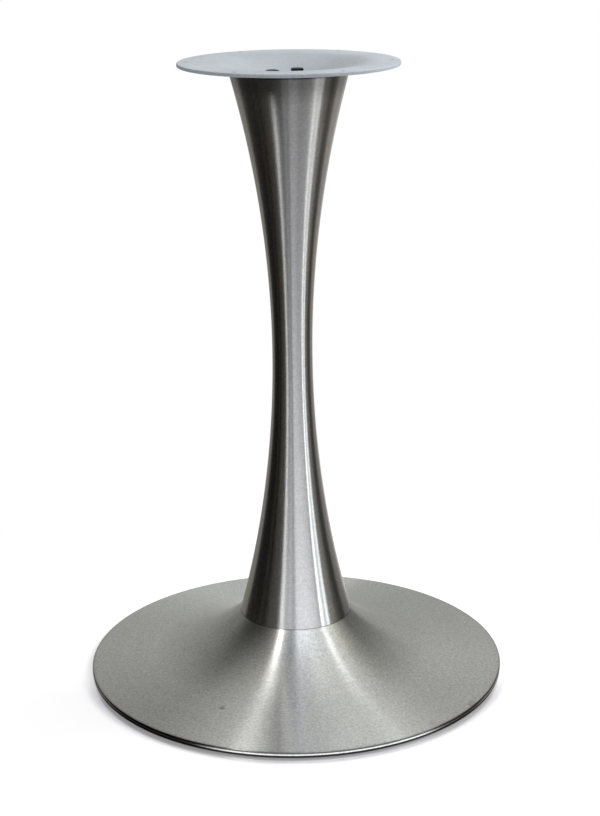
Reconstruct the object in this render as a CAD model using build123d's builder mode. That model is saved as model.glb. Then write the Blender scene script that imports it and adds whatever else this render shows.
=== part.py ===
# Trumpet table base: a brushed stainless column and foot, clamped by a rod to a ballast plate,
# with a dished steel plate on top that a table top is screwed to.
# Millimetres, +Z up. The origin is the middle of the foot, on the floor.

from math import cos, radians, sin, sqrt, tan
import os

from build123d import *

os.makedirs("parts", exist_ok=True)

# Overall sizes
base_height = 730.0
foot_radius = 250.0
plate_radius = 125.0

# Clearances
seat_gap = 0.05
thread_gap = 0.1
slide_gap = 0.3

# Floor pads and edge ring
pad_height = 2.0
pad_radius = 20.0
pad_circle_radius = 180.0
pad_count = 5
ring_sole = 2.2
ring_inset = 0.4
ring_wall = 2.4
ring_upstand = 3.0

# Foot cover: a spun sheet with a rolled rim, a shallow cone, a flare and a neck
cover_sheet = 1.5
rim_depth = 4.8
rim_bend = 1.4
cone_angle = 8.5
cone_inner_radius = 174.5
seam_height = 70.4
neck_height = 14.0

# Column: one spun sheet, widest at both ends
column_sheet = 1.2
column_foot_radius = 67.0
column_waist_radius = 23.57
column_waist_height = 393.8
column_head_radius = 68.1

# Top plate: a pressed dish with a flat ring for the screws
plate_sheet = 4.0
plate_edge_round = 1.2
dish_depth = 14.8
dish_corner_radius = 87.0
dish_bend = 100.0
land_corner_radius = 33.0
land_bend = 24.0
screw_hole_radius = 2.75
screw_circle_radius = 115.0
screw_count = 6

# Plate bolts: hexagon heads
bolt_radius = 4.0
bolt_hole_radius = 4.5
bolt_circle_radius = 18.5
bolt_count = 3
bolt_start_angle = 60.0
bolt_head_turn = 12.0
bolt_head_turn_step = 19.0
bolt_head_flats = 13.0
bolt_head_height = 5.3
bolt_head_chamfer = 0.7

# Clamping parts inside
ballast_thickness = 8.0
ballast_edge_chamfer = 1.0
ballast_clearance = 1.0
rod_radius = 8.0
rod_end_chamfer = 1.0
flange_radius = 26.5
flange_thickness = 12.0
nut_flats = 24.0
nut_height = 13.0
washer_radius = 15.0
washer_thickness = 3.0
support_wall = 3.0

# Heights and radii that follow from the sizes above
ballast_bottom = pad_height
ballast_top = ballast_bottom + ballast_thickness
rim_top = ring_sole + rim_depth
cone_slope = tan(radians(cone_angle))
cone_inner_height = rim_top + (foot_radius - cone_inner_radius) * cone_slope
cone_drop = cover_sheet / cos(radians(cone_angle))
ballast_radius = foot_radius - (ballast_top + cone_drop - rim_top) / cone_slope - ballast_clearance
column_foot_inner = column_foot_radius - column_sheet
flare_rise = column_waist_height - seam_height
flare_reach = column_foot_radius - column_waist_radius
neck_lean = 2.0 * flare_rise * flare_reach / (flare_rise**2 - flare_reach**2)
neck_foot_radius = column_foot_inner - slide_gap
neck_top_radius = neck_foot_radius - neck_height * neck_lean
support_radius = column_foot_inner - slide_gap
support_top = seam_height - cover_sheet - seat_gap
land_top = base_height - dish_depth
land_bottom = land_top - plate_sheet
flange_bottom = land_bottom - flange_thickness
dish_slope = dish_depth / (dish_corner_radius - land_corner_radius)
dish_drop = plate_sheet * sqrt(1.0 + dish_slope**2)
column_head_inner = column_head_radius - column_sheet
column_top = (
    base_height - (dish_corner_radius - column_head_inner) * dish_slope - dish_drop - seat_gap
)


# Rubber pads under the ballast plate
with BuildPart() as floor_pads:
    with BuildSketch(Plane.XY):
        with PolarLocations(pad_circle_radius, pad_count):
            Circle(pad_radius)
    extrude(amount=pad_height)
floor_pads.part.label = "floor_pads"

# Edge ring: a black rubber strip that the foot cover's rim stands on
with BuildPart() as edge_ring:
    with BuildSketch(Plane.XZ):
        with BuildLine():
            sole_outer = foot_radius - ring_inset
            wall_outer = foot_radius - cover_sheet - slide_gap
            wall_inner = wall_outer - ring_wall
            Polyline(
                (sole_outer, 0.0),
                (sole_outer, ring_sole),
                (wall_outer, ring_sole),
                (wall_outer, ring_sole + ring_upstand),
                (wall_inner, ring_sole + ring_upstand),
                (wall_inner, 0.0),
                close=True,
            )
        make_face()
    revolve(axis=Axis.Z)
edge_ring.part.label = "edge_ring"

# Ballast plate: the steel disc that keeps the table upright
with BuildPart() as ballast_plate:
    with BuildSketch(Plane.XY.offset(ballast_bottom)):
        Circle(ballast_radius)
        Circle(rod_radius + thread_gap, mode=Mode.SUBTRACT)
    extrude(amount=ballast_thickness)
    chamfer(
        ballast_plate.edges().filter_by(GeomType.CIRCLE).group_by(SortBy.RADIUS)[-1],
        length=ballast_edge_chamfer,
    )
ballast_plate.part.label = "ballast_plate"

# Neck support: a tube on the ballast plate that carries the foot cover's shoulder
with BuildPart() as neck_support:
    with BuildSketch(Plane.XY.offset(ballast_top)):
        Circle(support_radius)
        Circle(support_radius - support_wall, mode=Mode.SUBTRACT)
    extrude(amount=support_top - ballast_top)
neck_support.part.label = "neck_support"

# Foot cover: rim, cone, flare, shoulder and neck, all one sheet
with BuildPart() as foot_cover:
    with BuildSketch(Plane.XZ):
        with BuildLine():
            rim_point = (foot_radius, rim_top)
            cone_inner = (cone_inner_radius, cone_inner_height)
            FilletPolyline((foot_radius, ring_sole), rim_point, cone_inner, radius=rim_bend)
            TangentArc(
                cone_inner,
                (column_foot_radius, seam_height),
                tangent=(-cos(radians(cone_angle)), sin(radians(cone_angle))),
            )
            Polyline(
                (column_foot_radius, seam_height),
                (neck_foot_radius, seam_height),
                (neck_top_radius, seam_height + neck_height),
            )
            offset(amount=cover_sheet, kind=Kind.INTERSECTION, side=Side.LEFT, closed=True)
        make_face()
    revolve(axis=Axis.Z)
foot_cover.part.label = "foot_cover"

# Column: the hourglass wall, two arcs that meet upright at the waist, cut level at both ends
with BuildPart() as column_shell:
    with BuildSketch(Plane.XZ):
        with BuildLine():
            foot = Vector(column_foot_radius, seam_height)
            waist = Vector(column_waist_radius, column_waist_height)
            head = Vector(column_head_radius, column_top)
            inset = Vector(-column_sheet, 0.0)
            for shift in (Vector(0.0, 0.0), inset):
                TangentArc(waist + shift, foot + shift, tangent=(0.0, -1.0))
                TangentArc(waist + shift, head + shift, tangent=(0.0, 1.0))
            Line(foot, foot + inset)
            Line(head, head + inset)
        make_face()
    revolve(axis=Axis.Z)
column_shell.part.label = "column_shell"

# Clamping rod, from the ballast plate's underside to the top of the head flange
with BuildPart() as clamping_rod:
    with BuildSketch(Plane.XY.offset(ballast_bottom)):
        Circle(rod_radius)
    extrude(amount=land_bottom - ballast_bottom)
    chamfer(clamping_rod.edges().filter_by(GeomType.CIRCLE), length=rod_end_chamfer)
clamping_rod.part.label = "clamping_rod"

# Washer and nut that lock the rod to the ballast plate
with BuildPart() as rod_washer:
    with BuildSketch(Plane.XY.offset(ballast_top)):
        Circle(washer_radius)
        Circle(rod_radius + slide_gap, mode=Mode.SUBTRACT)
    extrude(amount=washer_thickness)
rod_washer.part.label = "rod_washer"

with BuildPart() as rod_nut:
    with BuildSketch(Plane.XY.offset(ballast_top + washer_thickness)):
        RegularPolygon(radius=nut_flats / 2, side_count=6, major_radius=False)
        Circle(rod_radius + thread_gap, mode=Mode.SUBTRACT)
    extrude(amount=nut_height)
rod_nut.part.label = "rod_nut"

# Head flange: screwed on the rod's top end, tapped for the plate bolts
with BuildPart() as head_flange:
    with BuildSketch(Plane.XY.offset(flange_bottom)):
        Circle(flange_radius)
        Circle(rod_radius + thread_gap, mode=Mode.SUBTRACT)
        with PolarLocations(bolt_circle_radius, bolt_count, start_angle=bolt_start_angle):
            Circle(bolt_radius + thread_gap, mode=Mode.SUBTRACT)
    extrude(amount=flange_thickness)
head_flange.part.label = "head_flange"

# Top plate: flat ring, rounded bend, cone and flat land, pressed from one sheet
with BuildPart() as top_plate:
    with BuildSketch(Plane.XZ):
        with BuildLine():
            FilletPolyline(
                (plate_radius, base_height),
                (dish_corner_radius, base_height),
                (land_corner_radius, land_top),
                (0.0, land_top),
                radius=[dish_bend, land_bend],
            )
            offset(amount=plate_sheet, side=Side.LEFT, closed=True)
        make_face()
    revolve(axis=Axis.Z)
    fillet(
        top_plate.edges().filter_by(GeomType.CIRCLE).group_by(SortBy.RADIUS)[-1],
        radius=plate_edge_round,
    )
    with BuildSketch(Plane.XY.offset(base_height)):
        with PolarLocations(screw_circle_radius, screw_count):
            Circle(screw_hole_radius)
        with PolarLocations(bolt_circle_radius, bolt_count, start_angle=bolt_start_angle):
            Circle(bolt_hole_radius)
    extrude(amount=-(dish_depth + plate_sheet), mode=Mode.SUBTRACT)
top_plate.part.label = "top_plate"

# Plate bolts: hexagon heads on the land, shanks through the plate into the head flange
with BuildPart() as plate_bolts:
    for index in range(bolt_count):
        angle = radians(bolt_start_angle + index * 360.0 / bolt_count)
        turn = bolt_head_turn + index * bolt_head_turn_step
        bolt_x = bolt_circle_radius * cos(angle)
        bolt_y = bolt_circle_radius * sin(angle)
        with BuildSketch(Plane((bolt_x, bolt_y, land_top))):
            RegularPolygon(
                radius=bolt_head_flats / 2, side_count=6, major_radius=False, rotation=turn
            )
        extrude(amount=bolt_head_height)
        with BuildSketch(Plane((bolt_x, bolt_y, flange_bottom))):
            Circle(bolt_radius)
        extrude(amount=land_top - flange_bottom)
    chamfer(plate_bolts.faces().group_by(Axis.Z)[-1].edges(), length=bolt_head_chamfer)
plate_bolts.part.label = "plate_bolts"

pieces = [
    floor_pads,
    edge_ring,
    ballast_plate,
    neck_support,
    foot_cover,
    column_shell,
    clamping_rod,
    rod_washer,
    rod_nut,
    head_flange,
    top_plate,
    plate_bolts,
]
for piece in pieces:
    export_step(piece.part, f"parts/{piece.part.label}.step")
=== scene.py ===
"""A trumpet table base: a spun stainless column on a flared foot, with a dished plate on top.

Everything is in metres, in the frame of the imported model: the origin is the middle of the foot
on the floor and +Z is up. The photographed view looks along +Y from the front.
"""

import logging
from dataclasses import dataclass
from enum import Enum
from math import asin, atan2, cos, hypot, pi, radians, sin, tan
from typing import Any

import bmesh
import bpy
from bpy.types import Material, Mesh, Node, NodeSocket, NodeTree, Object
from mathutils import Matrix, Vector


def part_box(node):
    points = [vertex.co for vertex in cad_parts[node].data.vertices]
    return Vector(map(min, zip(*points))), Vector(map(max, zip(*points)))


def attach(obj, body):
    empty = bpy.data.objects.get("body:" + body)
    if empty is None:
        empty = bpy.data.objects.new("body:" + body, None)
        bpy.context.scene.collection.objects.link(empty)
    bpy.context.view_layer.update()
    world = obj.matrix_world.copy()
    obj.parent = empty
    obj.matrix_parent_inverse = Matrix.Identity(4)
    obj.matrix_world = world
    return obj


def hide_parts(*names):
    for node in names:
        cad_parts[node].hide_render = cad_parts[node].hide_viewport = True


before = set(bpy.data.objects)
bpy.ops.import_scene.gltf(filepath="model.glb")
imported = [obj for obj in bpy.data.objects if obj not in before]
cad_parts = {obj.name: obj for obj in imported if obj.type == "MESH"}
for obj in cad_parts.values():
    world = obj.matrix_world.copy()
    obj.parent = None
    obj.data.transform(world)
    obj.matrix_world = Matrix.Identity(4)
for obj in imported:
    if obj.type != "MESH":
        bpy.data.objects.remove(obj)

log = logging.getLogger("trumpet_base")

Point = tuple[float, float]
Link = Node | NodeSocket

WHITE = (1.0, 1.0, 1.0, 1.0)

# Points nearer than this become one, at a turned wall's seam and in a finished mesh
SEAM_MERGE = 2e-6
POINT_MERGE = 1e-6
EDGE_MERGE = 1e-7

# The values between which most of a noise texture lies, and most of the sum of two
NOISE_REACH = (0.3, 0.7)
TWO_NOISES_REACH = (0.7, 1.3)

# The share of a mark's reach that is dark all over, before it fades
MARK_CORE = 0.25

# Turns the smear of a brushed surface from along its tangent to across it
QUARTER_TURN = 0.25

# The types of the commonest nodes
MATH = "ShaderNodeMath"
VECTOR_MATH = "ShaderNodeVectorMath"
INTEGER_MATH = "FunctionNodeIntegerMath"
MAP_RANGE = "ShaderNodeMapRange"

# Rounds off both ends of a MapRange
SMOOTH = {"interpolation_type": "SMOOTHSTEP"}


def linear(hex_colour: str) -> tuple[float, float, float, float]:
    """Turns an sRGB hex colour into the linear colour that sockets take.

    Args:
        hex_colour: six hex digits, such as "C8CCD0".

    Returns:
        Red, green, blue and an alpha of 1, linear.
    """
    parts = [int(hex_colour[i : i + 2], 16) / 255 for i in (0, 2, 4)]
    curve = [p / 12.92 if p <= 0.04045 else ((p + 0.055) / 1.055) ** 2.4 for p in parts]
    return (*curve, 1.0)


def add_node(
    tree: NodeTree, kind: str, inputs: dict[int | str, Any] | tuple = (), **settings: Any
) -> Node:
    """Adds a node with its settings, values and links.

    Args:
        tree: the tree that the node goes into.
        kind: the node's type name.
        inputs: each input's value, or the node or socket linked to it, either in the sockets' order
            or by name or number. A MapRange has its value first, then the ends of both its ranges.
        settings: the node's own properties.

    Returns:
        The new node.
    """
    node = tree.nodes.new(kind)
    for name, value in settings.items():
        setattr(node, name, value)
    for key, value in inputs.items() if isinstance(inputs, dict) else enumerate(inputs):
        if isinstance(value, Node):
            value = value.outputs[0]
        if isinstance(value, NodeSocket):
            tree.links.new(value, node.inputs[key])
        else:
            node.inputs[key].default_value = value
    return node


class Slot(Enum):
    """The record's material slots."""

    STAINLESS = "brushed_stainless"
    POWDER = "powder_coat"
    BLACK_STEEL = "black_steel"
    RUBBER = "black_rubber"
    PRIMER = "painted_steel"
    ZINC = "zinc_plate"


class Run(Enum):
    """The way that the brushing lines are told apart along a turned sheet."""

    UP = (0.0, 1.0)
    INWARDS = (1.0, -1.0)


# Finishes


@dataclass(frozen=True)
class Smudge:
    """A dull mark on a surface: its place seen from above, its radius and how much it darkens."""

    x: float
    y: float
    radius: float
    depth: float


@dataclass(frozen=True)
class JointOrShade:
    """A dark band round the object, at a joint or as painted shade: its height, reach and depth."""

    height: float
    reach: float
    depth: float


class Finish:
    """A material in the making: its tree, its shader and the shade that its colour is times."""

    def __init__(self, name: str) -> None:
        """Starts a material.

        Args:
            name: the material's name.
        """
        self.material, self.tree, self.shader = new_material(name)
        self.coords = add_node(self.tree, "ShaderNodeTexCoord").outputs["Object"]
        self.height = add_node(self.tree, "ShaderNodeSeparateXYZ", (self.coords,)).outputs["Z"]
        self.flat = add_node(self.tree, VECTOR_MATH, (self.coords, (1, 1, 0)), operation="MULTIPLY")
        reach = add_node(self.tree, VECTOR_MATH, (self.flat,), operation="LENGTH")
        self.radius = reach.outputs["Value"]
        self.shade: Link | float = 1.0

    def times(self, factor: Link) -> None:
        """Multiplies the shade by a factor."""
        self.shade = add_node(self.tree, MATH, (self.shade, factor), operation="MULTIPLY")

    def vary(self, noise: Link, reach: Point, tone: float) -> None:
        """Lets a noise lighten and darken the shade.

        Args:
            noise: the noise.
            reach: the noise's lowest and highest usual values.
            tone: how much it lightens and darkens.
        """
        self.times(add_node(self.tree, MAP_RANGE, (noise, *reach, 1 - tone, 1 + tone)))

    def darken(self, away: Link, reach: float, depth: float) -> None:
        """Adds a soft dark mark to the shade.

        Args:
            away: the distance from the mark's middle.
            reach: how far the mark goes.
            depth: how much it darkens in its middle.
        """
        mark = add_node(self.tree, MAP_RANGE, (away, MARK_CORE * reach, reach, 1 - depth), **SMOOTH)
        self.times(mark)

    def add_smudges(self, smudges: tuple[Smudge, ...]) -> None:
        """Adds dull marks to the shade."""
        for smudge in smudges:
            ends = (self.flat, (smudge.x, smudge.y, 0.0))
            away = add_node(self.tree, VECTOR_MATH, ends, operation="DISTANCE")
            self.darken(away.outputs["Value"], smudge.radius, smudge.depth)

    def add_joints_and_shade(self, joints: tuple[JointOrShade, ...]) -> None:
        """Adds dark bands that run round the object to the shade: joints, and painted shade."""
        for band in joints:
            past = add_node(self.tree, MATH, (self.height, band.height), operation="SUBTRACT")
            away = add_node(self.tree, MATH, (past,), operation="ABSOLUTE")
            self.darken(away, band.reach, band.depth)

    def feed(self, colour: str, sockets: dict[str, Link], values: dict[str, float]) -> None:
        """Gives the shader its colour times the shade, and the rest of its inputs.

        Args:
            colour: the colour as sRGB hex.
            sockets: per input, what is linked to it.
            values: per input, its value.
        """
        plain = {0: linear(colour)[:3], 3: self.shade}
        tinted = add_node(self.tree, VECTOR_MATH, plain, operation="SCALE")
        for name, source in ({"Base Color": tinted} | sockets).items():
            self.tree.links.new(source.outputs[0], self.shader.inputs[name])
        for name, value in values.items():
            self.shader.inputs[name].default_value = value


@dataclass(frozen=True)
class BrushedStainless:
    """Stainless sheet, spun and then brushed round its axis with a belt.

    The grooves lie along circles, so light smears across them: bands run up the column and rays
    run in to the middle of the foot. The belt can't lie flat in the flare, which stays a little
    smoother. Real grit lines and the grain between them are under 0.1 mm and too fine to show,
    so the lines are drawn about 1.5 mm apart and the grain about 3 mm across. No roughness is
    under 0.27, below which the render's denoiser takes metal for a mirror and wipes its grain.
    """

    name: str
    run: Run
    colour: str = "C6C6C4"
    roughness: float = 0.29
    smear: float = 1.0
    line_spacing: float = 0.0015
    line_length: float = 0.35
    line_tone: float = 0.05
    line_polish: float = 0.01
    groove_depth: float = 0.0004
    groove_share: float = 0.03
    grain: float = 0.0028
    grain_tone: float = 0.12
    cloud_scale: float = 14.0
    cloud_tone: float = 0.015
    flare_roughness: float = 0.285
    flare: tuple[float, float] = (0.075, 0.12)
    smudges: tuple[Smudge, ...] = ()
    joints: tuple[JointOrShade, ...] = ()

    def make(self) -> Material:
        """Builds the material."""
        finish = Finish(self.name)
        tree, coords = finish.tree, finish.coords
        lines = self.lines(finish)
        fine = {"Vector": coords, "Scale": 1 / self.grain, "Detail": 2.0, "Roughness": 0.7}
        speck = add_node(tree, "ShaderNodeTexNoise", fine)
        broad = {"Vector": coords, "Scale": self.cloud_scale, "Detail": 2.0, "Roughness": 0.5}
        cloud = add_node(tree, "ShaderNodeTexNoise", broad)
        finish.vary(lines, NOISE_REACH, self.line_tone)
        finish.vary(speck, NOISE_REACH, self.grain_tone)
        finish.vary(cloud, NOISE_REACH, self.cloud_tone)
        finish.add_smudges(self.smudges)
        finish.add_joints_and_shade(self.joints)
        dulling = (finish.radius, *self.flare, self.flare_roughness, self.roughness)
        plain = add_node(tree, MAP_RANGE, dulling, **SMOOTH)
        rough = add_node(tree, MATH, (lines, -self.line_polish, plain), operation="MULTIPLY_ADD")
        grooves = {"Height": lines, "Strength": self.groove_share, "Distance": self.groove_depth}
        bump = add_node(tree, "ShaderNodeBump", grooves)
        tangent = add_node(tree, "ShaderNodeTangent", direction_type="RADIAL", axis="Z")
        finish.feed(
            self.colour,
            {"Roughness": rough, "Normal": bump, "Tangent": tangent},
            {"Metallic": 1.0, "Anisotropic": self.smear, "Anisotropic Rotation": QUARTER_TURN},
        )
        return finish.material

    def lines(self, finish: Finish) -> Node:
        """Adds the brushing lines: noise drawn out round the axis and fine across it.

        Args:
            finish: the material in the making.

        Returns:
            The noise node.
        """
        tree = finish.tree
        out_weight, up_weight = self.run.value
        out = add_node(tree, MATH, (finish.radius, out_weight), operation="MULTIPLY")
        along = add_node(tree, MATH, (finish.height, up_weight, out), operation="MULTIPLY_ADD")
        across = add_node(tree, MATH, (along, 1 / self.line_spacing), operation="MULTIPLY")
        length = {0: finish.flat, 3: 1 / self.line_length}
        turned = add_node(tree, VECTOR_MATH, length, operation="SCALE")
        place = add_node(tree, "ShaderNodeSeparateXYZ", (turned,)).outputs
        drawn = add_node(tree, "ShaderNodeCombineXYZ", {"X": place["X"], "Y": place["Y"], "Z": across})
        noise = {"Vector": drawn, "Scale": 1.0, "Detail": 3.0, "Roughness": 0.65}
        return add_node(tree, "ShaderNodeTexNoise", noise)


@dataclass(frozen=True)
class Coated:
    """A coat or bulk finish: a colour with fine grain, a little cloudiness and a fine bump.

    The grain is the size of the bump's cells. A coat can be painted paler past a radius: a painted
    sheen.
    """

    name: str
    colour: str
    roughness: float
    grain: float
    bump: float
    metallic: float = 0.0
    specular: float = 0.5
    roughness_spread: float = 0.06
    bump_share: float = 0.3
    cloud: float = 0.03
    cloud_scale: float = 16.0
    ring_sheen: float = 0.0
    ring_sheen_reach: tuple[float, float] = (0.0, 0.0)
    smudges: tuple[Smudge, ...] = ()

    def make(self) -> Material:
        """Builds the material."""
        finish = Finish(self.name)
        tree, coords = finish.tree, finish.coords
        fine = {"Vector": coords, "Scale": 1 / self.grain, "Detail": 3.0, "Roughness": 0.6}
        peel = add_node(tree, "ShaderNodeTexNoise", fine)
        broad = {"Vector": coords, "Scale": self.cloud_scale, "Detail": 2.0}
        cloud = add_node(tree, "ShaderNodeTexNoise", broad)
        both = add_node(tree, MATH, (peel, cloud), operation="ADD")
        finish.vary(both, TWO_NOISES_REACH, self.cloud)
        # A painted sheen: paler past a radius
        if self.ring_sheen:
            rise = (finish.radius, *self.ring_sheen_reach, 1.0, 1.0 + self.ring_sheen)
            paler = add_node(tree, MAP_RANGE, rise, **SMOOTH)
            finish.times(paler)
        finish.add_smudges(self.smudges)
        low, high = self.roughness - self.roughness_spread, self.roughness + self.roughness_spread
        rough = add_node(tree, MAP_RANGE, {"Value": peel, "To Min": low, "To Max": high})
        depth = self.bump_share * self.grain
        cells = {"Height": peel, "Strength": self.bump, "Distance": depth}
        bump = add_node(tree, "ShaderNodeBump", cells)
        finish.feed(
            self.colour,
            {"Roughness": rough, "Normal": bump},
            {"Metallic": self.metallic, "Specular IOR Level": self.specular},
        )
        return finish.material


def new_material(name: str) -> tuple[Material, NodeTree, Node]:
    """Makes an empty node material.

    Args:
        name: the material's name.

    Returns:
        The material, its tree and its Principled shader.
    """
    material = bpy.data.materials.new(name)
    material.use_nodes = True
    tree = material.node_tree
    return material, tree, tree.nodes["Principled BSDF"]


# Geometry trees and meshes


def new_tree(name: str, sockets: dict[str, str]) -> tuple[NodeTree, Node]:
    """Makes a geometry tree with named inputs and one mesh output.

    Args:
        name: the tree's name.
        sockets: per input name, its kind, such as "Float".

    Returns:
        The tree and its input node.
    """
    tree = bpy.data.node_groups.new(name, "GeometryNodeTree")
    for socket, kind in sockets.items():
        tree.interface.new_socket(socket, in_out="INPUT", socket_type=f"NodeSocket{kind}")
    tree.interface.new_socket("Mesh", in_out="OUTPUT", socket_type="NodeSocketGeometry")
    return tree, add_node(tree, "NodeGroupInput")


def end_tree(tree: NodeTree, mesh: Node, given: Node) -> None:
    """Realizes what a tree made, gives it its material and hands it out.

    Args:
        tree: the tree to end.
        mesh: the node whose mesh is handed out.
        given: the tree's input node, with a Finish socket.
    """
    real = add_node(tree, "GeometryNodeRealizeInstances", (mesh,))
    clothes = {"Geometry": real, "Material": given.outputs["Finish"]}
    dressed = add_node(tree, "GeometryNodeSetMaterial", clothes)
    add_node(tree, "NodeGroupOutput", (dressed,))


def wrap_grid(tree: NodeTree, segments: NodeSocket, rows: Node) -> tuple[Node, Node, Node]:
    """Adds a grid to be wrapped round the axis, with the row and angle of each of its points.

    Args:
        tree: the tree that the nodes go into.
        segments: the number of steps round the axis.
        rows: the number of points along the outline.

    Returns:
        The grid, the row's number and the angle.
    """
    posts = add_node(tree, INTEGER_MATH, (segments, 1), operation="ADD")
    grid = add_node(tree, "GeometryNodeMeshGrid", {"Vertices X": posts, "Vertices Y": rows})
    index = add_node(tree, "GeometryNodeInputIndex")
    column = add_node(tree, INTEGER_MATH, (index, rows), operation="DIVIDE_FLOOR")
    row = add_node(tree, INTEGER_MATH, (index, rows), operation="MODULO")
    share = add_node(tree, MATH, (column, segments), operation="DIVIDE")
    angle = add_node(tree, MATH, (share, 2 * pi), operation="MULTIPLY")
    return grid, row, angle


def close_wrap(tree: NodeTree, grid: Node, flat: Node, angle: Node, given: Node) -> None:
    """Turns a grid's points to their places round the axis, closes its seam and ends the tree.

    Args:
        tree: the tree to end.
        grid: the grid's node.
        flat: the node that gives each point's place on the outline.
        angle: the node that gives how far round the axis it goes.
        given: the tree's input node.
    """
    turn = {"Vector": flat, "Angle": angle}
    place = add_node(tree, "ShaderNodeVectorRotate", turn, rotation_type="Z_AXIS")
    moved = add_node(tree, "GeometryNodeSetPosition", {"Geometry": grid, "Position": place})
    closed = add_node(tree, "GeometryNodeMergeByDistance", {"Geometry": moved, "Distance": SEAM_MERGE})
    end_tree(tree, closed, given)


def hourglass_tree() -> NodeTree:
    """Builds the tree of the column's wall: two arcs that meet upright at the waist."""
    places = [f"{end} {size}" for end in ("Waist", "Foot", "Head") for size in ("Radius", "Height")]
    sockets = dict.fromkeys((*places, "Sheet"), "Float")
    sockets |= {"Segments": "Int", "Rows": "Int", "Finish": "Material"}
    tree, given = new_tree("hourglass_wall", sockets)
    value = given.outputs
    side = add_node(tree, INTEGER_MATH, (value["Rows"], 1), operation="ADD")
    loop = add_node(tree, INTEGER_MATH, (side, 2), operation="MULTIPLY")
    rows = add_node(tree, INTEGER_MATH, (loop, 1), operation="ADD")
    grid, row, angle = wrap_grid(tree, value["Segments"], rows)
    turn = add_node(tree, INTEGER_MATH, (row, loop), operation="MODULO")
    inside = add_node(tree, MATH, (turn, value["Rows"]), operation="GREATER_THAN")
    last = add_node(tree, INTEGER_MATH, (loop, 1), operation="SUBTRACT")
    back = add_node(tree, INTEGER_MATH, (last, turn), operation="SUBTRACT")
    step = add_node(tree, INTEGER_MATH, (turn, back), operation="MINIMUM")
    share = add_node(tree, MATH, (step, value["Rows"]), operation="DIVIDE")
    heights = (value["Foot Height"], value["Head Height"])
    height = add_node(tree, MAP_RANGE, (share, 0.0, 1.0, *heights))
    drop = add_node(tree, MATH, (height, value["Waist Height"]), operation="SUBTRACT")
    above = add_node(tree, MATH, (drop, 0.0), operation="GREATER_THAN")
    end = add_node(tree, MAP_RANGE, (above, 0.0, 1.0, *heights))
    radii = (value["Foot Radius"], value["Head Radius"])
    wide = add_node(tree, MAP_RANGE, (above, 0.0, 1.0, *radii))
    rise = add_node(tree, MATH, (end, value["Waist Height"]), operation="SUBTRACT")
    reach = add_node(tree, MATH, (wide, value["Waist Radius"]), operation="SUBTRACT")
    # The arc's radius is (rise squared + reach squared) / (2 reach)
    rise_2 = add_node(tree, MATH, (rise, 2.0), operation="POWER")
    span_2 = add_node(tree, MATH, (reach, reach, rise_2), operation="MULTIPLY_ADD")
    reach_2 = add_node(tree, MATH, (reach, 2.0), operation="MULTIPLY")
    arc = add_node(tree, MATH, (span_2, reach_2), operation="DIVIDE")
    drop_2 = add_node(tree, MATH, (drop, 2.0), operation="POWER")
    arc_2 = add_node(tree, MATH, (arc, 2.0), operation="POWER")
    leg_2 = add_node(tree, MATH, (arc_2, drop_2), operation="SUBTRACT")
    leg = add_node(tree, MATH, (leg_2,), operation="SQRT")
    bulge = add_node(tree, MATH, (arc, leg), operation="SUBTRACT")
    outer = add_node(tree, MATH, (value["Waist Radius"], bulge), operation="ADD")
    inset = add_node(tree, MATH, (inside, value["Sheet"]), operation="MULTIPLY")
    radius = add_node(tree, MATH, (outer, inset), operation="SUBTRACT")
    flat = add_node(tree, "ShaderNodeCombineXYZ", {"X": radius, "Z": height})
    close_wrap(tree, grid, flat, angle, given)
    return tree


def turned_tree() -> NodeTree:
    """Builds the tree that turns a line of outline points round the axis."""
    sockets = {"Outline": "Geometry", "Segments": "Int", "Finish": "Material"}
    tree, given = new_tree("turned_outline", sockets)
    count = add_node(tree, "GeometryNodeAttributeDomainSize", (given.outputs["Outline"],))
    grid, row, angle = wrap_grid(tree, given.outputs["Segments"], count)
    here = add_node(tree, "GeometryNodeInputPosition")
    sample = {"Geometry": given.outputs["Outline"], "Value": here, "Index": row}
    point = add_node(tree, "GeometryNodeSampleIndex", sample, data_type="FLOAT_VECTOR", domain="POINT")
    close_wrap(tree, grid, point, angle, given)
    return tree


def circle_tree() -> NodeTree:
    """Builds the tree that sets copies of a part on a circle, each turned on its own axis."""
    sizes = ("Circle Radius", "Start Angle", "First Turn", "Turn Step")
    sockets = {"Part": "Geometry", "Count": "Int", "Finish": "Material"} | dict.fromkeys(sizes, "Float")
    tree, given = new_tree("parts_on_circle", sockets)
    value = given.outputs
    index = add_node(tree, "GeometryNodeInputIndex")
    share = add_node(tree, MATH, (index, value["Count"]), operation="DIVIDE")
    angle = add_node(tree, MATH, (share, 2 * pi, value["Start Angle"]), operation="MULTIPLY_ADD")
    arm = add_node(tree, "ShaderNodeCombineXYZ", {"X": value["Circle Radius"]})
    swing = {"Vector": arm, "Angle": angle}
    spot = add_node(tree, "ShaderNodeVectorRotate", swing, rotation_type="Z_AXIS")
    points = add_node(tree, "GeometryNodePoints", {"Count": value["Count"], "Position": spot})
    steps = (index, value["Turn Step"], value["First Turn"])
    turn = add_node(tree, MATH, steps, operation="MULTIPLY_ADD")
    spin = add_node(tree, "ShaderNodeCombineXYZ", {"Z": turn})
    copy = {"Points": points, "Instance": value["Part"], "Rotation": spin}
    copies = add_node(tree, "GeometryNodeInstanceOnPoints", copy)
    end_tree(tree, copies, given)
    return tree


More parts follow.
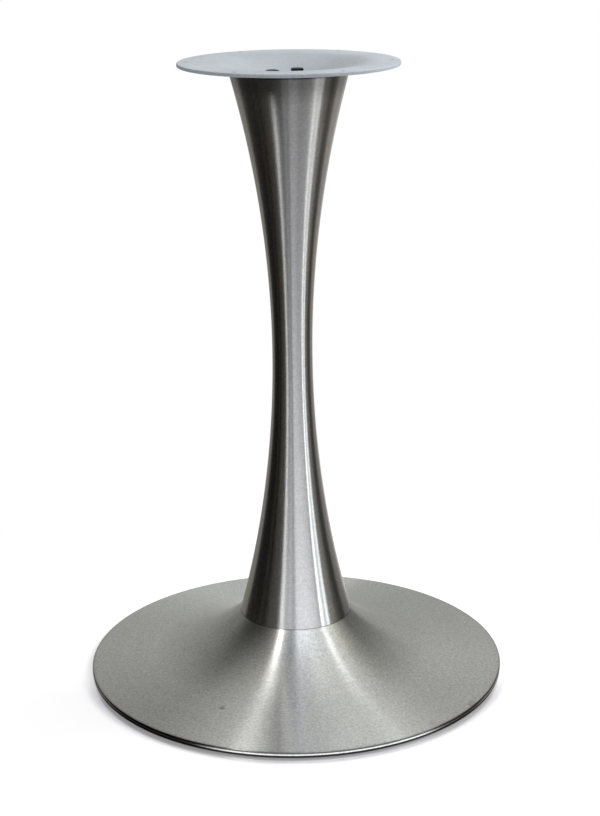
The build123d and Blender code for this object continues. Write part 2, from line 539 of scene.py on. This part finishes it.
def grow(
    name: str, base: Mesh, tree: NodeTree, sizes: dict[str, Any], sharp: float = radians(35)
) -> Object:
    """Runs a geometry tree on a mesh and keeps the result as a plain piece.

    Args:
        name: the piece's name.
        base: the mesh that the tree starts from.
        tree: the geometry tree.
        sizes: the tree's inputs by name.
        sharp: edges that bend more than this stay sharp.

    Returns:
        The finished piece, with its faces outwards.
    """
    holder = bpy.data.objects.new(f"{name}_source", base)
    bpy.context.scene.collection.objects.link(holder)
    modifier = holder.modifiers.new("shape", "NODES")
    modifier.node_group = tree
    for item in tree.interface.items_tree:
        if item.in_out == "INPUT" and item.name in sizes:
            modifier[item.identifier] = sizes[item.name]
    bpy.context.view_layer.update()
    graph = bpy.context.evaluated_depsgraph_get()
    mesh = bpy.data.meshes.new_from_object(holder.evaluated_get(graph))
    holder.modifiers.remove(modifier)
    bpy.data.objects.remove(holder)
    return finish_mesh(name, mesh, sharp)


def finish_mesh(name: str, mesh: Mesh, sharp: float) -> Object:
    """Joins a mesh's doubles, turns its faces outwards, shades it and links it as a piece.

    Args:
        name: the piece's name.
        mesh: the mesh to finish.
        sharp: edges that bend more than this stay sharp.

    Returns:
        The new object.
    """
    work = bmesh.new()
    work.from_mesh(mesh)
    bmesh.ops.remove_doubles(work, verts=work.verts, dist=POINT_MERGE)
    bmesh.ops.dissolve_degenerate(work, edges=work.edges, dist=EDGE_MERGE)
    bmesh.ops.recalc_face_normals(work, faces=work.faces)
    for face in work.faces:
        face.smooth = True
    for edge in work.edges:
        edge.smooth = len(edge.link_faces) == 2 and edge.calc_face_angle(pi) < sharp
    work.to_mesh(mesh)
    work.free()
    mesh.name = name
    piece = bpy.data.objects.new(name, mesh)
    bpy.context.scene.collection.objects.link(piece)
    return piece


def merged_copy(name: str, node: str, sharp: float) -> Object:
    """Copies a CAD node with its triangles joined, so that it can be shaded smooth.

    Args:
        name: the copy's name.
        node: the CAD node.
        sharp: edges that bend more than this stay sharp.

    Returns:
        The new piece.
    """
    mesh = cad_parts[node].data.copy()
    mesh.materials.clear()
    return finish_mesh(name, mesh, sharp)


def line_mesh(name: str, points: list[Point]) -> Mesh:
    """Makes a mesh of loose points in the XZ plane, in the order given.

    Args:
        name: the mesh's name.
        points: radius and height of each point.

    Returns:
        The mesh.
    """
    mesh = bpy.data.meshes.new(name)
    mesh.from_pydata([(radius, 0.0, height) for radius, height in points], [], [])
    return mesh


def arc_points(centre: Point, start: Point, sweep: float, count: int) -> list[Point]:
    """Lays points along an arc, without its first one.

    Args:
        centre: the arc's centre.
        start: where the arc starts.
        sweep: the angle it turns through, positive from radius towards height.
        count: how many points.

    Returns:
        The points.
    """
    reach = hypot(start[0] - centre[0], start[1] - centre[1])
    first = atan2(start[1] - centre[1], start[0] - centre[0])
    angles = [first + sweep * (i + 1) / count for i in range(count)]
    return [(centre[0] + reach * cos(a), centre[1] + reach * sin(a)) for a in angles]


def bend(corner: Point, before: Point, after: Point, radius: float, count: int) -> list[Point]:
    """Rounds a corner of an outline.

    Args:
        corner: the sharp corner.
        before: a point on the run into it.
        after: a point on the run out of it.
        radius: the bend's radius.
        count: how many steps the bend has.

    Returns:
        The points of the bend, its two ends among them.
    """
    at, come, go = Vector(corner), Vector(before), Vector(after)
    inward = (come - at).normalized()
    onward = (go - at).normalized()
    half = inward.angle(onward) / 2
    start = at + inward * (radius / tan(half))
    centre = at + (inward + onward).normalized() * (radius / sin(half))
    side = inward.x * onward.y - inward.y * onward.x
    sweep = (pi - 2 * half) * (-1 if side > 0 else 1)
    return [tuple(start), *arc_points(tuple(centre), tuple(start), sweep, count)]


def inset(points: list[Point], sheet: float) -> list[Point]:
    """Moves an open outline to its left by the sheet's thickness, with mitred corners.

    Args:
        points: the outline.
        sheet: how far it moves.

    Returns:
        The moved outline.
    """
    moved = []
    for i, here in enumerate(points):
        sides = []
        for start in (max(i - 1, 0), min(i, len(points) - 2)):
            run = Vector(points[start + 1]) - Vector(points[start])
            sides.append(Vector((-run.y, run.x)).normalized())
        mitre = (sides[0] + sides[1]) / (1 + sides[0].dot(sides[1]))
        moved.append(tuple(Vector(here) + sheet * mitre))
    return moved


# Sub-assemblies


@dataclass(frozen=True)
class Column:
    """The hourglass column, spun from one sheet."""

    foot_radius: float = 0.067
    waist_radius: float = 0.02357
    waist_height: float = 0.3938
    head_radius: float = 0.0681
    sheet: float = 0.0012
    segments: int = 256
    rows: int = 90
    # Brushed stainless: long soft bands of light up the column, crossed by fine level lines.
    # Under the plate a dark line and a soft dark band are painted shade, and a dark line marks
    # where the column stands on the foot.
    finish: BrushedStainless = BrushedStainless(
        "brushed_stainless_column",
        Run.UP,
        # Painted shade under the plate, twice, then the joint with the foot
        joints=(JointOrShade(0.7205, 0.0045, 0.8), JointOrShade(0.7205, 0.034, 0.35), JointOrShade(0.0704, 0.0008, 0.45)),
    )

    def build(self) -> list[Object]:
        """Builds the wall and dresses it."""
        low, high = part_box("column_shell")
        sizes = {
            "Waist Radius": self.waist_radius,
            "Waist Height": self.waist_height,
            "Foot Radius": self.foot_radius,
            "Foot Height": low.z,
            "Head Radius": self.head_radius,
            "Head Height": high.z,
            "Sheet": self.sheet,
            "Segments": self.segments,
            "Rows": self.rows,
            "Finish": self.finish.make(),
        }
        wall = grow("column_wall", bpy.data.meshes.new("column"), hourglass_tree(), sizes)
        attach(wall, "root")
        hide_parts("column_shell")
        return [wall]


@dataclass(frozen=True)
class Foot:
    """The flared foot: the spun cover and the rubber ring that it stands on."""

    radius: float = 0.25
    lip_height: float = 0.0031
    rim_top: float = 0.007
    rim_bend: float = 0.0014
    cone_angle: float = radians(8.5)
    cone_inner_radius: float = 0.1745
    seam_radius: float = 0.067
    seam_height: float = 0.0704
    seam_bend: float = 0.0006
    neck_foot_radius: float = 0.0655
    neck_top: Point = (0.0613, 0.0844)
    sheet: float = 0.0015
    segments: int = 320
    rim_steps: int = 8
    cone_steps: int = 12
    flare_steps: int = 48
    seam_steps: int = 4
    ring_sole_radius: float = 0.2496
    ring_wall_radius: float = 0.2482
    ring_inner_radius: float = 0.2458
    ring_sole: float = 0.0031
    ring_top: float = 0.0052
    ring_round: float = 0.0004
    ring_steps: int = 3
    # Brushed stainless, duller and grainier than the column: rays of light that run in to the
    # flare, one dark mark and two faint ones, a dark line under the column where it stands, and
    # painted shade along the bend above the rim's lip.
    finish: BrushedStainless = BrushedStainless(
        "brushed_stainless_foot",
        Run.INWARDS,
        roughness=0.31,
        line_tone=0.03,
        grain_tone=0.2,
        smudges=(
            Smudge(-0.0852, -0.1614, 0.0045, 0.5),
            Smudge(0.2044, -0.1388, 0.009, 0.18),
            Smudge(0.1542, -0.1867, 0.008, 0.15),
        ),
        # The joint under the column, then painted shade along the rim's bend
        joints=(JointOrShade(0.0704, 0.0008, 0.45), JointOrShade(0.0058, 0.0018, 0.85)),
    )
    # Moulded rubber: a matt black line under the rim that hardly catches the light
    rubber: Coated = Coated("moulded_black_rubber", "161617", 0.6, 0.0008, 0.25, specular=0.2)

    def skin(self, rim_bend: float, seam_bend: float) -> list[Point]:
        """Lays out the cover's outer line, from the lip to the top of the neck.

        Args:
            rim_bend: the bend radius at the rim, 0 for a sharp corner.
            seam_bend: the bend radius at the seam, 0 for a sharp corner.

        Returns:
            The outline.
        """
        lip = (self.radius, self.lip_height)
        rim = (self.radius, self.rim_top)
        cone_rise = (self.radius - self.cone_inner_radius) * tan(self.cone_angle)
        cone_in = (self.cone_inner_radius, self.rim_top + cone_rise)
        seam = (self.seam_radius, self.seam_height)
        shoulder = (self.neck_foot_radius, self.seam_height)
        up = Vector((sin(self.cone_angle), cos(self.cone_angle)))
        chord = Vector(seam) - Vector(cone_in)
        flare = chord.length_squared / (2 * up.dot(chord))
        centre = Vector(cone_in) + flare * up
        sweep = -2 * asin(chord.length / (2 * flare))
        curve = arc_points(tuple(centre), cone_in, sweep, self.flare_steps)
        steps = range(1, self.cone_steps + 1)
        cone = [tuple(Vector(rim).lerp(Vector(cone_in), i / self.cone_steps)) for i in steps]
        first = bend(rim, lip, cone_in, rim_bend, self.rim_steps) if rim_bend else [rim]
        last = bend(seam, curve[-2], shoulder, seam_bend, self.seam_steps) if seam_bend else [seam]
        return [lip, *first, *cone, *curve[:-1], *last, shoulder, self.neck_top]

    def ring_section(self) -> list[Point]:
        """Lays out the rubber ring's section, with all corners rounded but the one in its step."""
        corners = [
            (self.ring_sole_radius, 0.0),
            (self.ring_sole_radius, self.ring_sole),
            (self.ring_wall_radius, self.ring_sole),
            (self.ring_wall_radius, self.ring_top),
            (self.ring_inner_radius, self.ring_top),
            (self.ring_inner_radius, 0.0),
        ]
        step = corners[2]
        section: list[Point] = []
        for i, corner in enumerate(corners):
            near = (corners[i - 1], corners[(i + 1) % len(corners)])
            rounded = bend(corner, *near, self.ring_round, self.ring_steps)
            section += [corner] if corner == step else rounded
        return section

    def build(self) -> list[Object]:
        """Builds the cover and the ring and dresses them."""
        outer = self.skin(self.rim_bend, self.seam_bend)
        inner = inset(self.skin(0.0, 0.0), self.sheet)
        loop = [*outer, *reversed(inner), outer[0]]
        tree = turned_tree()
        sizes = {"Segments": self.segments, "Finish": self.finish.make()}
        cover = grow("spun_foot_cover", line_mesh("cover", loop), tree, sizes)
        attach(cover, "root")
        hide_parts("foot_cover")

        section = self.ring_section()
        sizes = {"Segments": self.segments, "Finish": self.rubber.make()}
        ring = grow("rubber_edge_ring", line_mesh("ring", [*section, section[0]]), tree, sizes)
        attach(ring, "root")
        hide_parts("edge_ring")
        return [cover, ring]


@dataclass(frozen=True)
class Head:
    """The pressed top plate and its three hexagon bolts."""

    plate_sharp: float = radians(20)
    bolt_sharp: float = radians(25)
    bolt_flats: float = 0.013
    head_height: float = 0.0053
    shank_radius: float = 0.004
    shank_length: float = 0.016
    chamfer_radius: float = 0.006
    chamfer_angle: float = radians(30)
    crown_radius: float = 0.003
    circle_radius: float = 0.0185
    count: int = 3
    start_angle: float = radians(60)
    first_turn: float = radians(12)
    turn_step: float = radians(19)
    steps: int = 72
    # Powder coat, sprayed on and baked: satin silver grey with a fine orange peel. The flat ring
    # is painted paler as a painted sheen; there are dark marks along the bend on both sides and a
    # chip of dirt on the far edge
    coat: Coated = Coated(
        "silver_powder_coat",
        "BCC3CA",
        0.42,
        0.0028,
        0.35,
        cloud=0.13,
        # A painted sheen on the flat ring
        ring_sheen=0.15,
        ring_sheen_reach=(0.082, 0.108),
        smudges=(
            Smudge(-0.1096, -0.0037, 0.004, 0.14),
            Smudge(-0.1007, -0.0241, 0.005, 0.16),
            Smudge(-0.0908, -0.0489, 0.005, 0.14),
            Smudge(0.0923, -0.0435, 0.005, 0.14),
            Smudge(0.0987, -0.0583, 0.004, 0.12),
            Smudge(-0.0319, 0.1219, 0.003, 0.8),
        ),
    )
    # Black oxide on steel: near black, with a faint dull sheen
    black: Coated = Coated("black_oxide_steel", "0C0C0D", 0.4, 0.0006, 0.15, specular=0.15)

    def bolt_outline(self, angle: float, land: float) -> list[Point]:
        """Lays out the bolt's outline at one angle, from the shank's end to the crown.

        Args:
            angle: the angle round the bolt's axis.
            land: the height of the plate's land.

        Returns:
            Radius and height of each point.
        """
        top = land + self.head_height
        hexagon = self.bolt_flats / 2 / cos((angle + pi / 6) % (pi / 3) - pi / 6)
        slope = top - (hexagon - self.chamfer_radius) * tan(self.chamfer_angle)
        return [
            (self.shank_radius, land - self.shank_length),
            (self.shank_radius, land),
            (hexagon, land),
            (hexagon, slope),
            (self.chamfer_radius, top),
            (self.crown_radius, top),
        ]

    def bolt(self) -> Mesh:
        """Builds one bolt with its head on the land and its shank going down through it."""
        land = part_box("plate_bolts")[1].z - self.head_height
        work = bmesh.new()
        posts = []
        for i in range(self.steps):
            angle = 2 * pi * i / self.steps
            outline = self.bolt_outline(angle, land)
            posts.append([work.verts.new((r * cos(angle), r * sin(angle), z)) for r, z in outline])
        for here, after in zip(posts, posts[1:] + posts[:1]):
            for low, high in zip(range(len(here)), range(1, len(here))):
                work.faces.new((here[low], after[low], after[high], here[high]))
        work.faces.new([post[-1] for post in posts])
        work.faces.new([post[0] for post in reversed(posts)])
        mesh = bpy.data.meshes.new("hexagon_bolt")
        work.to_mesh(mesh)
        work.free()
        return mesh

    def build(self) -> list[Object]:
        """Builds the plate and the bolts and dresses them."""
        plate = merged_copy("dished_plate", "top_plate", self.plate_sharp)
        plate.data.materials.append(self.coat.make())
        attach(plate, "root")
        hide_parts("top_plate")
        sizes = {
            "Count": self.count,
            "Circle Radius": self.circle_radius,
            "Start Angle": self.start_angle,
            "First Turn": self.first_turn,
            "Turn Step": self.turn_step,
            "Finish": self.black.make(),
        }
        bolts = grow("hexagon_bolts", self.bolt(), circle_tree(), sizes, self.bolt_sharp)
        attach(bolts, "root")
        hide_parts("plate_bolts")
        return [plate, bolts]


@dataclass(frozen=True)
class InnerParts:
    """The clamping parts inside and the parts seen only from below."""

    # Sprayed primer: dull dark grey
    primer: Coated = Coated("black_steel_primer", "2C2C2E", 0.5, 0.001, 0.2)
    # Zinc plate: bright, slightly cloudy metal
    zinc: Coated = Coated("bright_zinc_plate", "C9CBCD", 0.32, 0.0009, 0.08, metallic=1.0)
    # Moulded rubber that the floor has scuffed: matt dark grey
    rubber: Coated = Coated("floor_pad_rubber", "1C1C1D", 0.65, 0.001, 0.3)

    def build(self) -> list[Object]:
        """Dresses the CAD nodes that stay as they are."""
        worn = {
            self.primer: ("ballast_plate", "neck_support"),
            self.zinc: ("clamping_rod", "rod_nut", "rod_washer", "head_flange"),
            self.rubber: ("floor_pads",),
        }
        dressed = []
        for finish, nodes in worn.items():
            material = finish.make()
            for node in nodes:
                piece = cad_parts[node]
                piece.data.materials.clear()
                piece.data.materials.append(material)
                dressed.append(piece)
        return dressed


# Studio


def add_quad(name: str, corners: list[Any], material: Material) -> Object:
    """Adds a flat piece of the stage.

    Args:
        name: the piece's name.
        corners: its four corners.
        material: its material.

    Returns:
        The new object.
    """
    mesh = bpy.data.meshes.new(name)
    mesh.from_pydata(corners, [], [(0, 1, 2, 3)])
    mesh.materials.append(material)
    quad = bpy.data.objects.new(name, mesh)
    bpy.context.scene.collection.objects.link(quad)
    return quad


@dataclass(frozen=True)
class Camera:
    """The camera, fitted to the ellipses of the foot and the plate in the photograph."""

    place: tuple[float, float, float] = (0.008066, -1.978418, 0.948839)
    pitch: float = radians(17.488)
    roll: float = radians(-0.655)
    focal_pixels: float = 1756.909
    frame_height: int = 816
    sensor: float = 36.0
    clip_start: float = 0.05

    def build(self) -> None:
        """Places the camera at the photograph's viewing angle."""
        data = bpy.data.cameras.new("photo_camera")
        data.sensor_width = self.sensor
        data.lens = self.focal_pixels * self.sensor / self.frame_height
        data.clip_start = self.clip_start
        camera = bpy.data.objects.new("photo_camera", data)
        bpy.context.scene.collection.objects.link(camera)
        turn = Matrix.Rotation(pi / 2 - self.pitch, 4, "X") @ Matrix.Rotation(self.roll, 4, "Z")
        camera.matrix_world = Matrix.Translation(self.place) @ turn
        bpy.context.scene.camera = camera


@dataclass(frozen=True)
class Lamp:
    """A soft square lamp, which the metal doesn't mirror."""

    name: str
    place: tuple[float, float, float]
    width: float
    watts: float
    aim: tuple[float, float, float] = (0.0, 0.0, 0.3)

    def build(self) -> Object:
        """Hangs the lamp and turns it to the object."""
        data = bpy.data.lights.new(self.name, "AREA")
        data.shape = "SQUARE"
        data.size = self.width
        data.energy = self.watts
        lamp = bpy.data.objects.new(self.name, data)
        bpy.context.scene.collection.objects.link(lamp)
        aim = (Vector(self.aim) - Vector(self.place)).to_track_quat("-Z", "Y")
        lamp.matrix_world = Matrix.LocRotScale(Vector(self.place), aim, None)
        lamp.visible_glossy = False
        lamp.visible_camera = False
        return lamp


@dataclass(frozen=True)
class Panel:
    """A flat panel of light near the object, seen only in what is glossy.

    Azimuth 0 is in front and 90 on the right, in degrees; the rest is in metres.
    """

    name: str
    azimuth: float
    distance: float
    width: float
    low: float
    high: float
    level: float
    tint: str = "FFFFFF"

    def build(self) -> Object:
        """Builds the panel upright, facing the axis."""
        around = radians(self.azimuth)
        out = Vector((sin(around), -cos(around), 0.0))
        side = Vector((cos(around), sin(around), 0.0)) * self.width / 2
        corners = [
            out * self.distance + side * way + Vector((0.0, 0.0, height))
            for way, height in ((-1, self.low), (1, self.low), (1, self.high), (-1, self.high))
        ]
        material, tree, _ = new_material(self.name)
        light = add_node(tree, "ShaderNodeEmission", (linear(self.tint), self.level))
        tree.links.new(light.outputs[0], tree.nodes["Material Output"].inputs["Surface"])
        panel = add_quad(self.name, corners, material)
        for rays in ("camera", "diffuse", "transmission", "volume_scatter", "shadow"):
            setattr(panel, f"visible_{rays}", False)
        return panel


@dataclass(frozen=True)
class Card:
    """A soft-edged strip of light far round the object, seen only in what is glossy.

    Azimuth 0 is behind the camera and 90 is on the right, in degrees. The strip has one level
    below the horizon, one about it, one above it and one near the top.
    """

    name: str
    azimuth: float
    half_width: float
    edge: float
    levels: tuple[float, float, float, float]
    tint: str = "FFFFFF"


@dataclass(frozen=True)
class Sky:
    """The world: white to the camera, a grey light on the object, and strips of light in gloss.

    The photograph's background is white, but its metal shows the windows and walls of a room, as
    bands on the column and rays on the flare. So what is glossy sees strips instead of white. The
    light on the object rises from left to right, and the strips are a little warmer lower down.
    """

    ambient_left: float = 0.14
    ambient_right: float = 0.52
    dark: float = 0.003
    zenith: float = 0.2
    low_tint: str = "FFF6F1"
    low_reach: tuple[float, float] = (0.1, -0.5)
    # The elevations, in degrees, between which each strip goes over to its next level
    strip_steps: tuple[tuple[float, float], ...] = ((-24, -4), (10, 34), (46, 66), (76, 86))
    cards: tuple[Card, ...] = (
        Card("left_line", -32, 3, 1.5, (0.02, 0.32, 2.1, 0.8), "F6FAFF"),
        Card("left_gap", -22, 6, 2, (0.04, 0.38, 1.7, 0.12), "F6FAFF"),
        Card("left_sheen", -12, 4, 1.5, (0.13, 0.65, 1.5, 0.5), "F5F8FF"),
        Card("front_gap", -4, 4, 1.5, (0.08, 0.34, 1.1, 0.8), "F8F8FF"),
        Card("front_box", 12, 12, 1.5, (0.12, 1.08, 2.2, 2.1), "F5F8FF"),
        Card("right_box", 37, 13, 2, (0.12, 1.12, 2.25, 2.1), "F5F8FF"),
        Card("right_line_near", 57, 3, 1, (1.4, 4.0, 2.5, 1.3), "F4FAFF"),
        Card("right_gap", 63.5, 3, 1, (0.4, 1.1, 1.2, 0.9), "F4FAFF"),
        Card("right_line_far", 70, 3, 1, (1.9, 2.9, 1.1, 0.8), "F2FAFF"),
        Card("right_dusk", 84, 10, 4, (0.3, 0.1, 1.7, 1.4), "FFFFF8"),
        Card("right_side", 105, 11, 5, (0.05, 0.01, 0.75, 0.9), "FFFFF0"),
        Card("left_room", -53, 14, 4, (0.06, 0.04, 0.26, 0.9), "FFF6EA"),
        Card("left_door", -79, 5, 3, (0.05, 0.03, 0.04, 0.25), "FFEEE0"),
        Card("left_side", -104, 16, 5, (0.02, 0.005, 0.0, 0.0)),
        Card("back_left", -139, 13, 3, (0.35, 0.2, 0.24, 1.1), "FFFFF8"),
        Card("back_left_wall", -162, 10, 5, (0.35, 0.32, 0.48, 1.35), "FFFFFA"),
        Card("back_wall", 180, 9, 5, (0.6, 0.5, 0.8, 0.5), "FCFFFC"),
        Card("back_right_wall", 162, 10, 5, (1.2, 0.42, 0.84, 0.9), "FFFFFA"),
        Card("back_right", 136, 16, 3, (0.6, 0.08, 0.2, 1.12), "FFFFFC"),
    )

    def card_group(self) -> NodeTree:
        """Builds the node group that gives one strip's light for a direction."""
        group = bpy.data.node_groups.new("light_card", "ShaderNodeTree")
        for name in ("Direction", "Facing"):
            group.interface.new_socket(name, in_out="INPUT", socket_type="NodeSocketVector")
        for name in ("Half Width", "Edge", "Low", "Middle", "High", "Top", "Zenith"):
            group.interface.new_socket(name, in_out="INPUT", socket_type="NodeSocketFloat")
        group.interface.new_socket("Light", in_out="OUTPUT", socket_type="NodeSocketFloat")
        value = add_node(group, "NodeGroupInput").outputs
        flat = add_node(group, VECTOR_MATH, (value["Direction"], (1, 1, 0)), operation="MULTIPLY")
        towards = add_node(group, VECTOR_MATH, (flat,), operation="NORMALIZE")
        ways = (towards, value["Facing"])
        facing = add_node(group, VECTOR_MATH, ways, operation="DOT_PRODUCT").outputs["Value"]
        away = add_node(group, MATH, (facing,), operation="ARCCOSINE")
        half = value["Half Width"]
        past = add_node(group, MATH, (away, half), operation="SUBTRACT")
        share = add_node(group, MATH, (past, value["Edge"]), operation="DIVIDE")
        window = add_node(group, MAP_RANGE, (share, 1.0, -1.0), **SMOOTH)
        split = add_node(group, "ShaderNodeSeparateXYZ", (value["Direction"],))
        rise = add_node(group, MATH, (split.outputs["Z"],), operation="ARCSINE")
        light: Any = value["Low"]
        for (start, end), name in zip(self.strip_steps, ("Middle", "High", "Top", "Zenith")):
            step = (rise, radians(start), radians(end), light, value[name])
            light = add_node(group, MAP_RANGE, step, **SMOOTH)
        shown = add_node(group, MATH, (light, window), operation="MULTIPLY")
        add_node(group, "NodeGroupOutput", (shown,))
        return group

    def strips(self, tree: NodeTree, towards: NodeSocket) -> Node:
        """Adds up the light of all the strips.

        Args:
            tree: the world's tree.
            towards: the direction looked in.

        Returns:
            The node with their light.
        """
        group = self.card_group()
        total: Any = (self.dark, self.dark, self.dark)
        for card in self.cards:
            around = radians(card.azimuth)
            facing = (sin(around), -cos(around), 0.0)
            reach = (radians(card.half_width), radians(card.edge))
            inputs = (towards, facing, *reach, *card.levels, self.zenith)
            strip = add_node(tree, "ShaderNodeGroup", inputs, node_tree=group, label=card.name)
            tinted = (linear(card.tint)[:3], strip, total)
            total = add_node(tree, VECTOR_MATH, tinted, operation="MULTIPLY_ADD")
        return total

    def build(self) -> None:
        """Makes the world and hangs it round the scene."""
        world = bpy.data.worlds.new("studio")
        world.use_nodes = True
        tree = world.node_tree
        tree.nodes.clear()
        bpy.context.scene.world = world
        towards = add_node(tree, "ShaderNodeTexCoord").outputs["Generated"]
        path = add_node(tree, "ShaderNodeLightPath").outputs
        split = add_node(tree, "ShaderNodeSeparateXYZ", (towards,))
        below = add_node(tree, MAP_RANGE, (split.outputs["Z"], *self.low_reach), **SMOOTH)
        tints = {0: below, 6: WHITE, 7: linear(self.low_tint)}
        warm = add_node(tree, "ShaderNodeMix", tints, data_type="RGBA")
        strips = (self.strips(tree, towards), warm.outputs[2])
        total = add_node(tree, VECTOR_MATH, strips, operation="MULTIPLY")
        rays = (path["Is Glossy Ray"], path["Is Transmission Ray"])
        gloss = add_node(tree, MATH, rays, operation="MAXIMUM")
        across = (split.outputs["X"], -1.0, 1.0, self.ambient_left, self.ambient_right)
        grey = add_node(tree, MAP_RANGE, across)
        lit = add_node(tree, "ShaderNodeMix", {0: gloss, 6: grey, 7: total}, data_type="RGBA")
        eye = {0: path["Is Camera Ray"], 6: lit.outputs[2], 7: WHITE}
        shown = add_node(tree, "ShaderNodeMix", eye, data_type="RGBA")
        back = add_node(tree, "ShaderNodeBackground", {"Color": shown.outputs[2]})
        add_node(tree, "ShaderNodeOutputWorld", {"Surface": back})


@dataclass(frozen=True)
class Floor:
    """The white board that the object stands on, which keeps its shadow.

    The lift is light that only the camera sees, so that the board looks white without more
    light on the object. Just outside the rim, in front, the board mirrors it faintly through a
    grey-mauve tint, which also paints a shadow band there. To what is glossy the board isn't
    there, apart from a lit patch that draws the white line on the rim.
    Past the backdrop's reach the camera sees plain white.
    """

    half: float = 6.0
    colour: str = "E6E6E6"
    roughness: float = 0.6
    lift: float = 0.48
    # The mirror's grey-mauve tint paints a shadow band just outside the rim
    mirror_shadow_tint: str = "CDC8D6"
    mirror_roughness: float = 0.2
    mirror_shadow_share: float = 0.65
    mirror_shadow_reach: tuple[float, float] = (0.254, 0.269)
    mirror_shadow_front: tuple[float, float] = (-0.03, -0.12)
    patch_centre: tuple[float, float, float] = (0.037, -0.278, 0.0)
    patch_reach: tuple[float, float] = (0.12, 0.17)
    patch_level: float = 2.2
    backdrop_reach: tuple[float, float] = (0.36, 0.62)

    def build(self) -> Object:
        """Builds the board."""
        half = self.half
        corners = [(-half, -half, 0.0), (half, -half, 0.0), (half, half, 0.0), (-half, half, 0.0)]
        floor = add_quad("studio_floor", corners, self.make())
        return floor

    def make(self) -> Material:
        """Builds the board's material."""
        material, tree, shader = new_material("white_gloss_board")
        shader.inputs["Base Color"].default_value = linear(self.colour)
        shader.inputs["Roughness"].default_value = self.roughness
        shader.inputs["Emission Color"].default_value = WHITE
        path = add_node(tree, "ShaderNodeLightPath").outputs
        eye, gloss = path["Is Camera Ray"], path["Is Glossy Ray"]
        lift = add_node(tree, MATH, (eye, self.lift), operation="MULTIPLY")
        tree.links.new(lift.outputs[0], shader.inputs["Emission Strength"])
        coords = add_node(tree, "ShaderNodeTexCoord").outputs["Object"]
        away = add_node(tree, VECTOR_MATH, (coords,), operation="LENGTH").outputs["Value"]
        forward = add_node(tree, "ShaderNodeSeparateXYZ", (coords,)).outputs["Y"]
        ends = (coords, self.patch_centre)
        off = add_node(tree, VECTOR_MATH, ends, operation="DISTANCE").outputs["Value"]
        steps = (
            (away, *self.mirror_shadow_reach, self.mirror_shadow_share, 0.0),
            (forward, *self.mirror_shadow_front),
            (off, *self.patch_reach),
            (away, *self.backdrop_reach),
        )
        fades = [add_node(tree, MAP_RANGE, step, **SMOOTH) for step in steps]
        close, front, beyond, backdrop = fades
        # The mask of the mirror and its painted shadow band: just outside the rim, in front
        rim = add_node(tree, MATH, (close, front), operation="MULTIPLY")
        seen = add_node(tree, MATH, (eye, backdrop), operation="MULTIPLY")
        tinted = {"Color": linear(self.mirror_shadow_tint), "Roughness": self.mirror_roughness}
        mirror = add_node(tree, "ShaderNodeBsdfAnisotropic", tinted)
        white = add_node(tree, "ShaderNodeEmission", {1: 1.0})
        patch = add_node(tree, "ShaderNodeEmission", {1: self.patch_level})
        clear = add_node(tree, "ShaderNodeBsdfTransparent")
        mirrored = add_node(tree, "ShaderNodeMixShader", (beyond, patch, clear))
        surface = shader
        for share, other in ((rim, mirror), (seen, white), (gloss, mirrored)):
            surface = add_node(tree, "ShaderNodeMixShader", (share, surface, other))
        tree.links.new(surface.outputs[0], tree.nodes["Material Output"].inputs["Surface"])
        return material


@dataclass(frozen=True)
class Studio:
    """The camera, the world, the floor, the lamps and the panels of light."""

    camera: Camera = Camera()
    sky: Sky = Sky()
    lights: tuple[Lamp | Panel, ...] = (
        Lamp("key_lamp", (1.8, 1.0, 1.7), 1.4, 44.0),
        Lamp("top_lamp", (-0.2, -0.5, 2.8), 2.2, 13.5),
        Panel("near_lamp", 92, 0.61, 0.13, 1.06, 1.20, 13.0, "FAFCFF"),
        Panel("left_window", -35, 1.2, 0.13, 1.1, 1.8, 38.0),
    )
    floor: Floor = Floor()

    def build(self) -> list[Object]:
        """Builds the studio round the object."""
        self.camera.build()
        self.sky.build()
        return [self.floor.build(), *(light.build() for light in self.lights)]


def main() -> None:
    """Builds the table base and its studio, and reports each piece."""
    logging.basicConfig(level=logging.INFO, format="%(name)s: %(message)s")
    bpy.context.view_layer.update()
    for part in (Column(), Foot(), Head(), InnerParts(), Studio()):
        for piece in part.build():
            faces = len(piece.data.polygons) if piece.type == "MESH" else 0
            log.info("%s %s: %d faces", type(part).__name__, piece.name, faces)
    bpy.context.scene.view_settings.view_transform = "Standard"


if __name__ == "__main__":
    main()
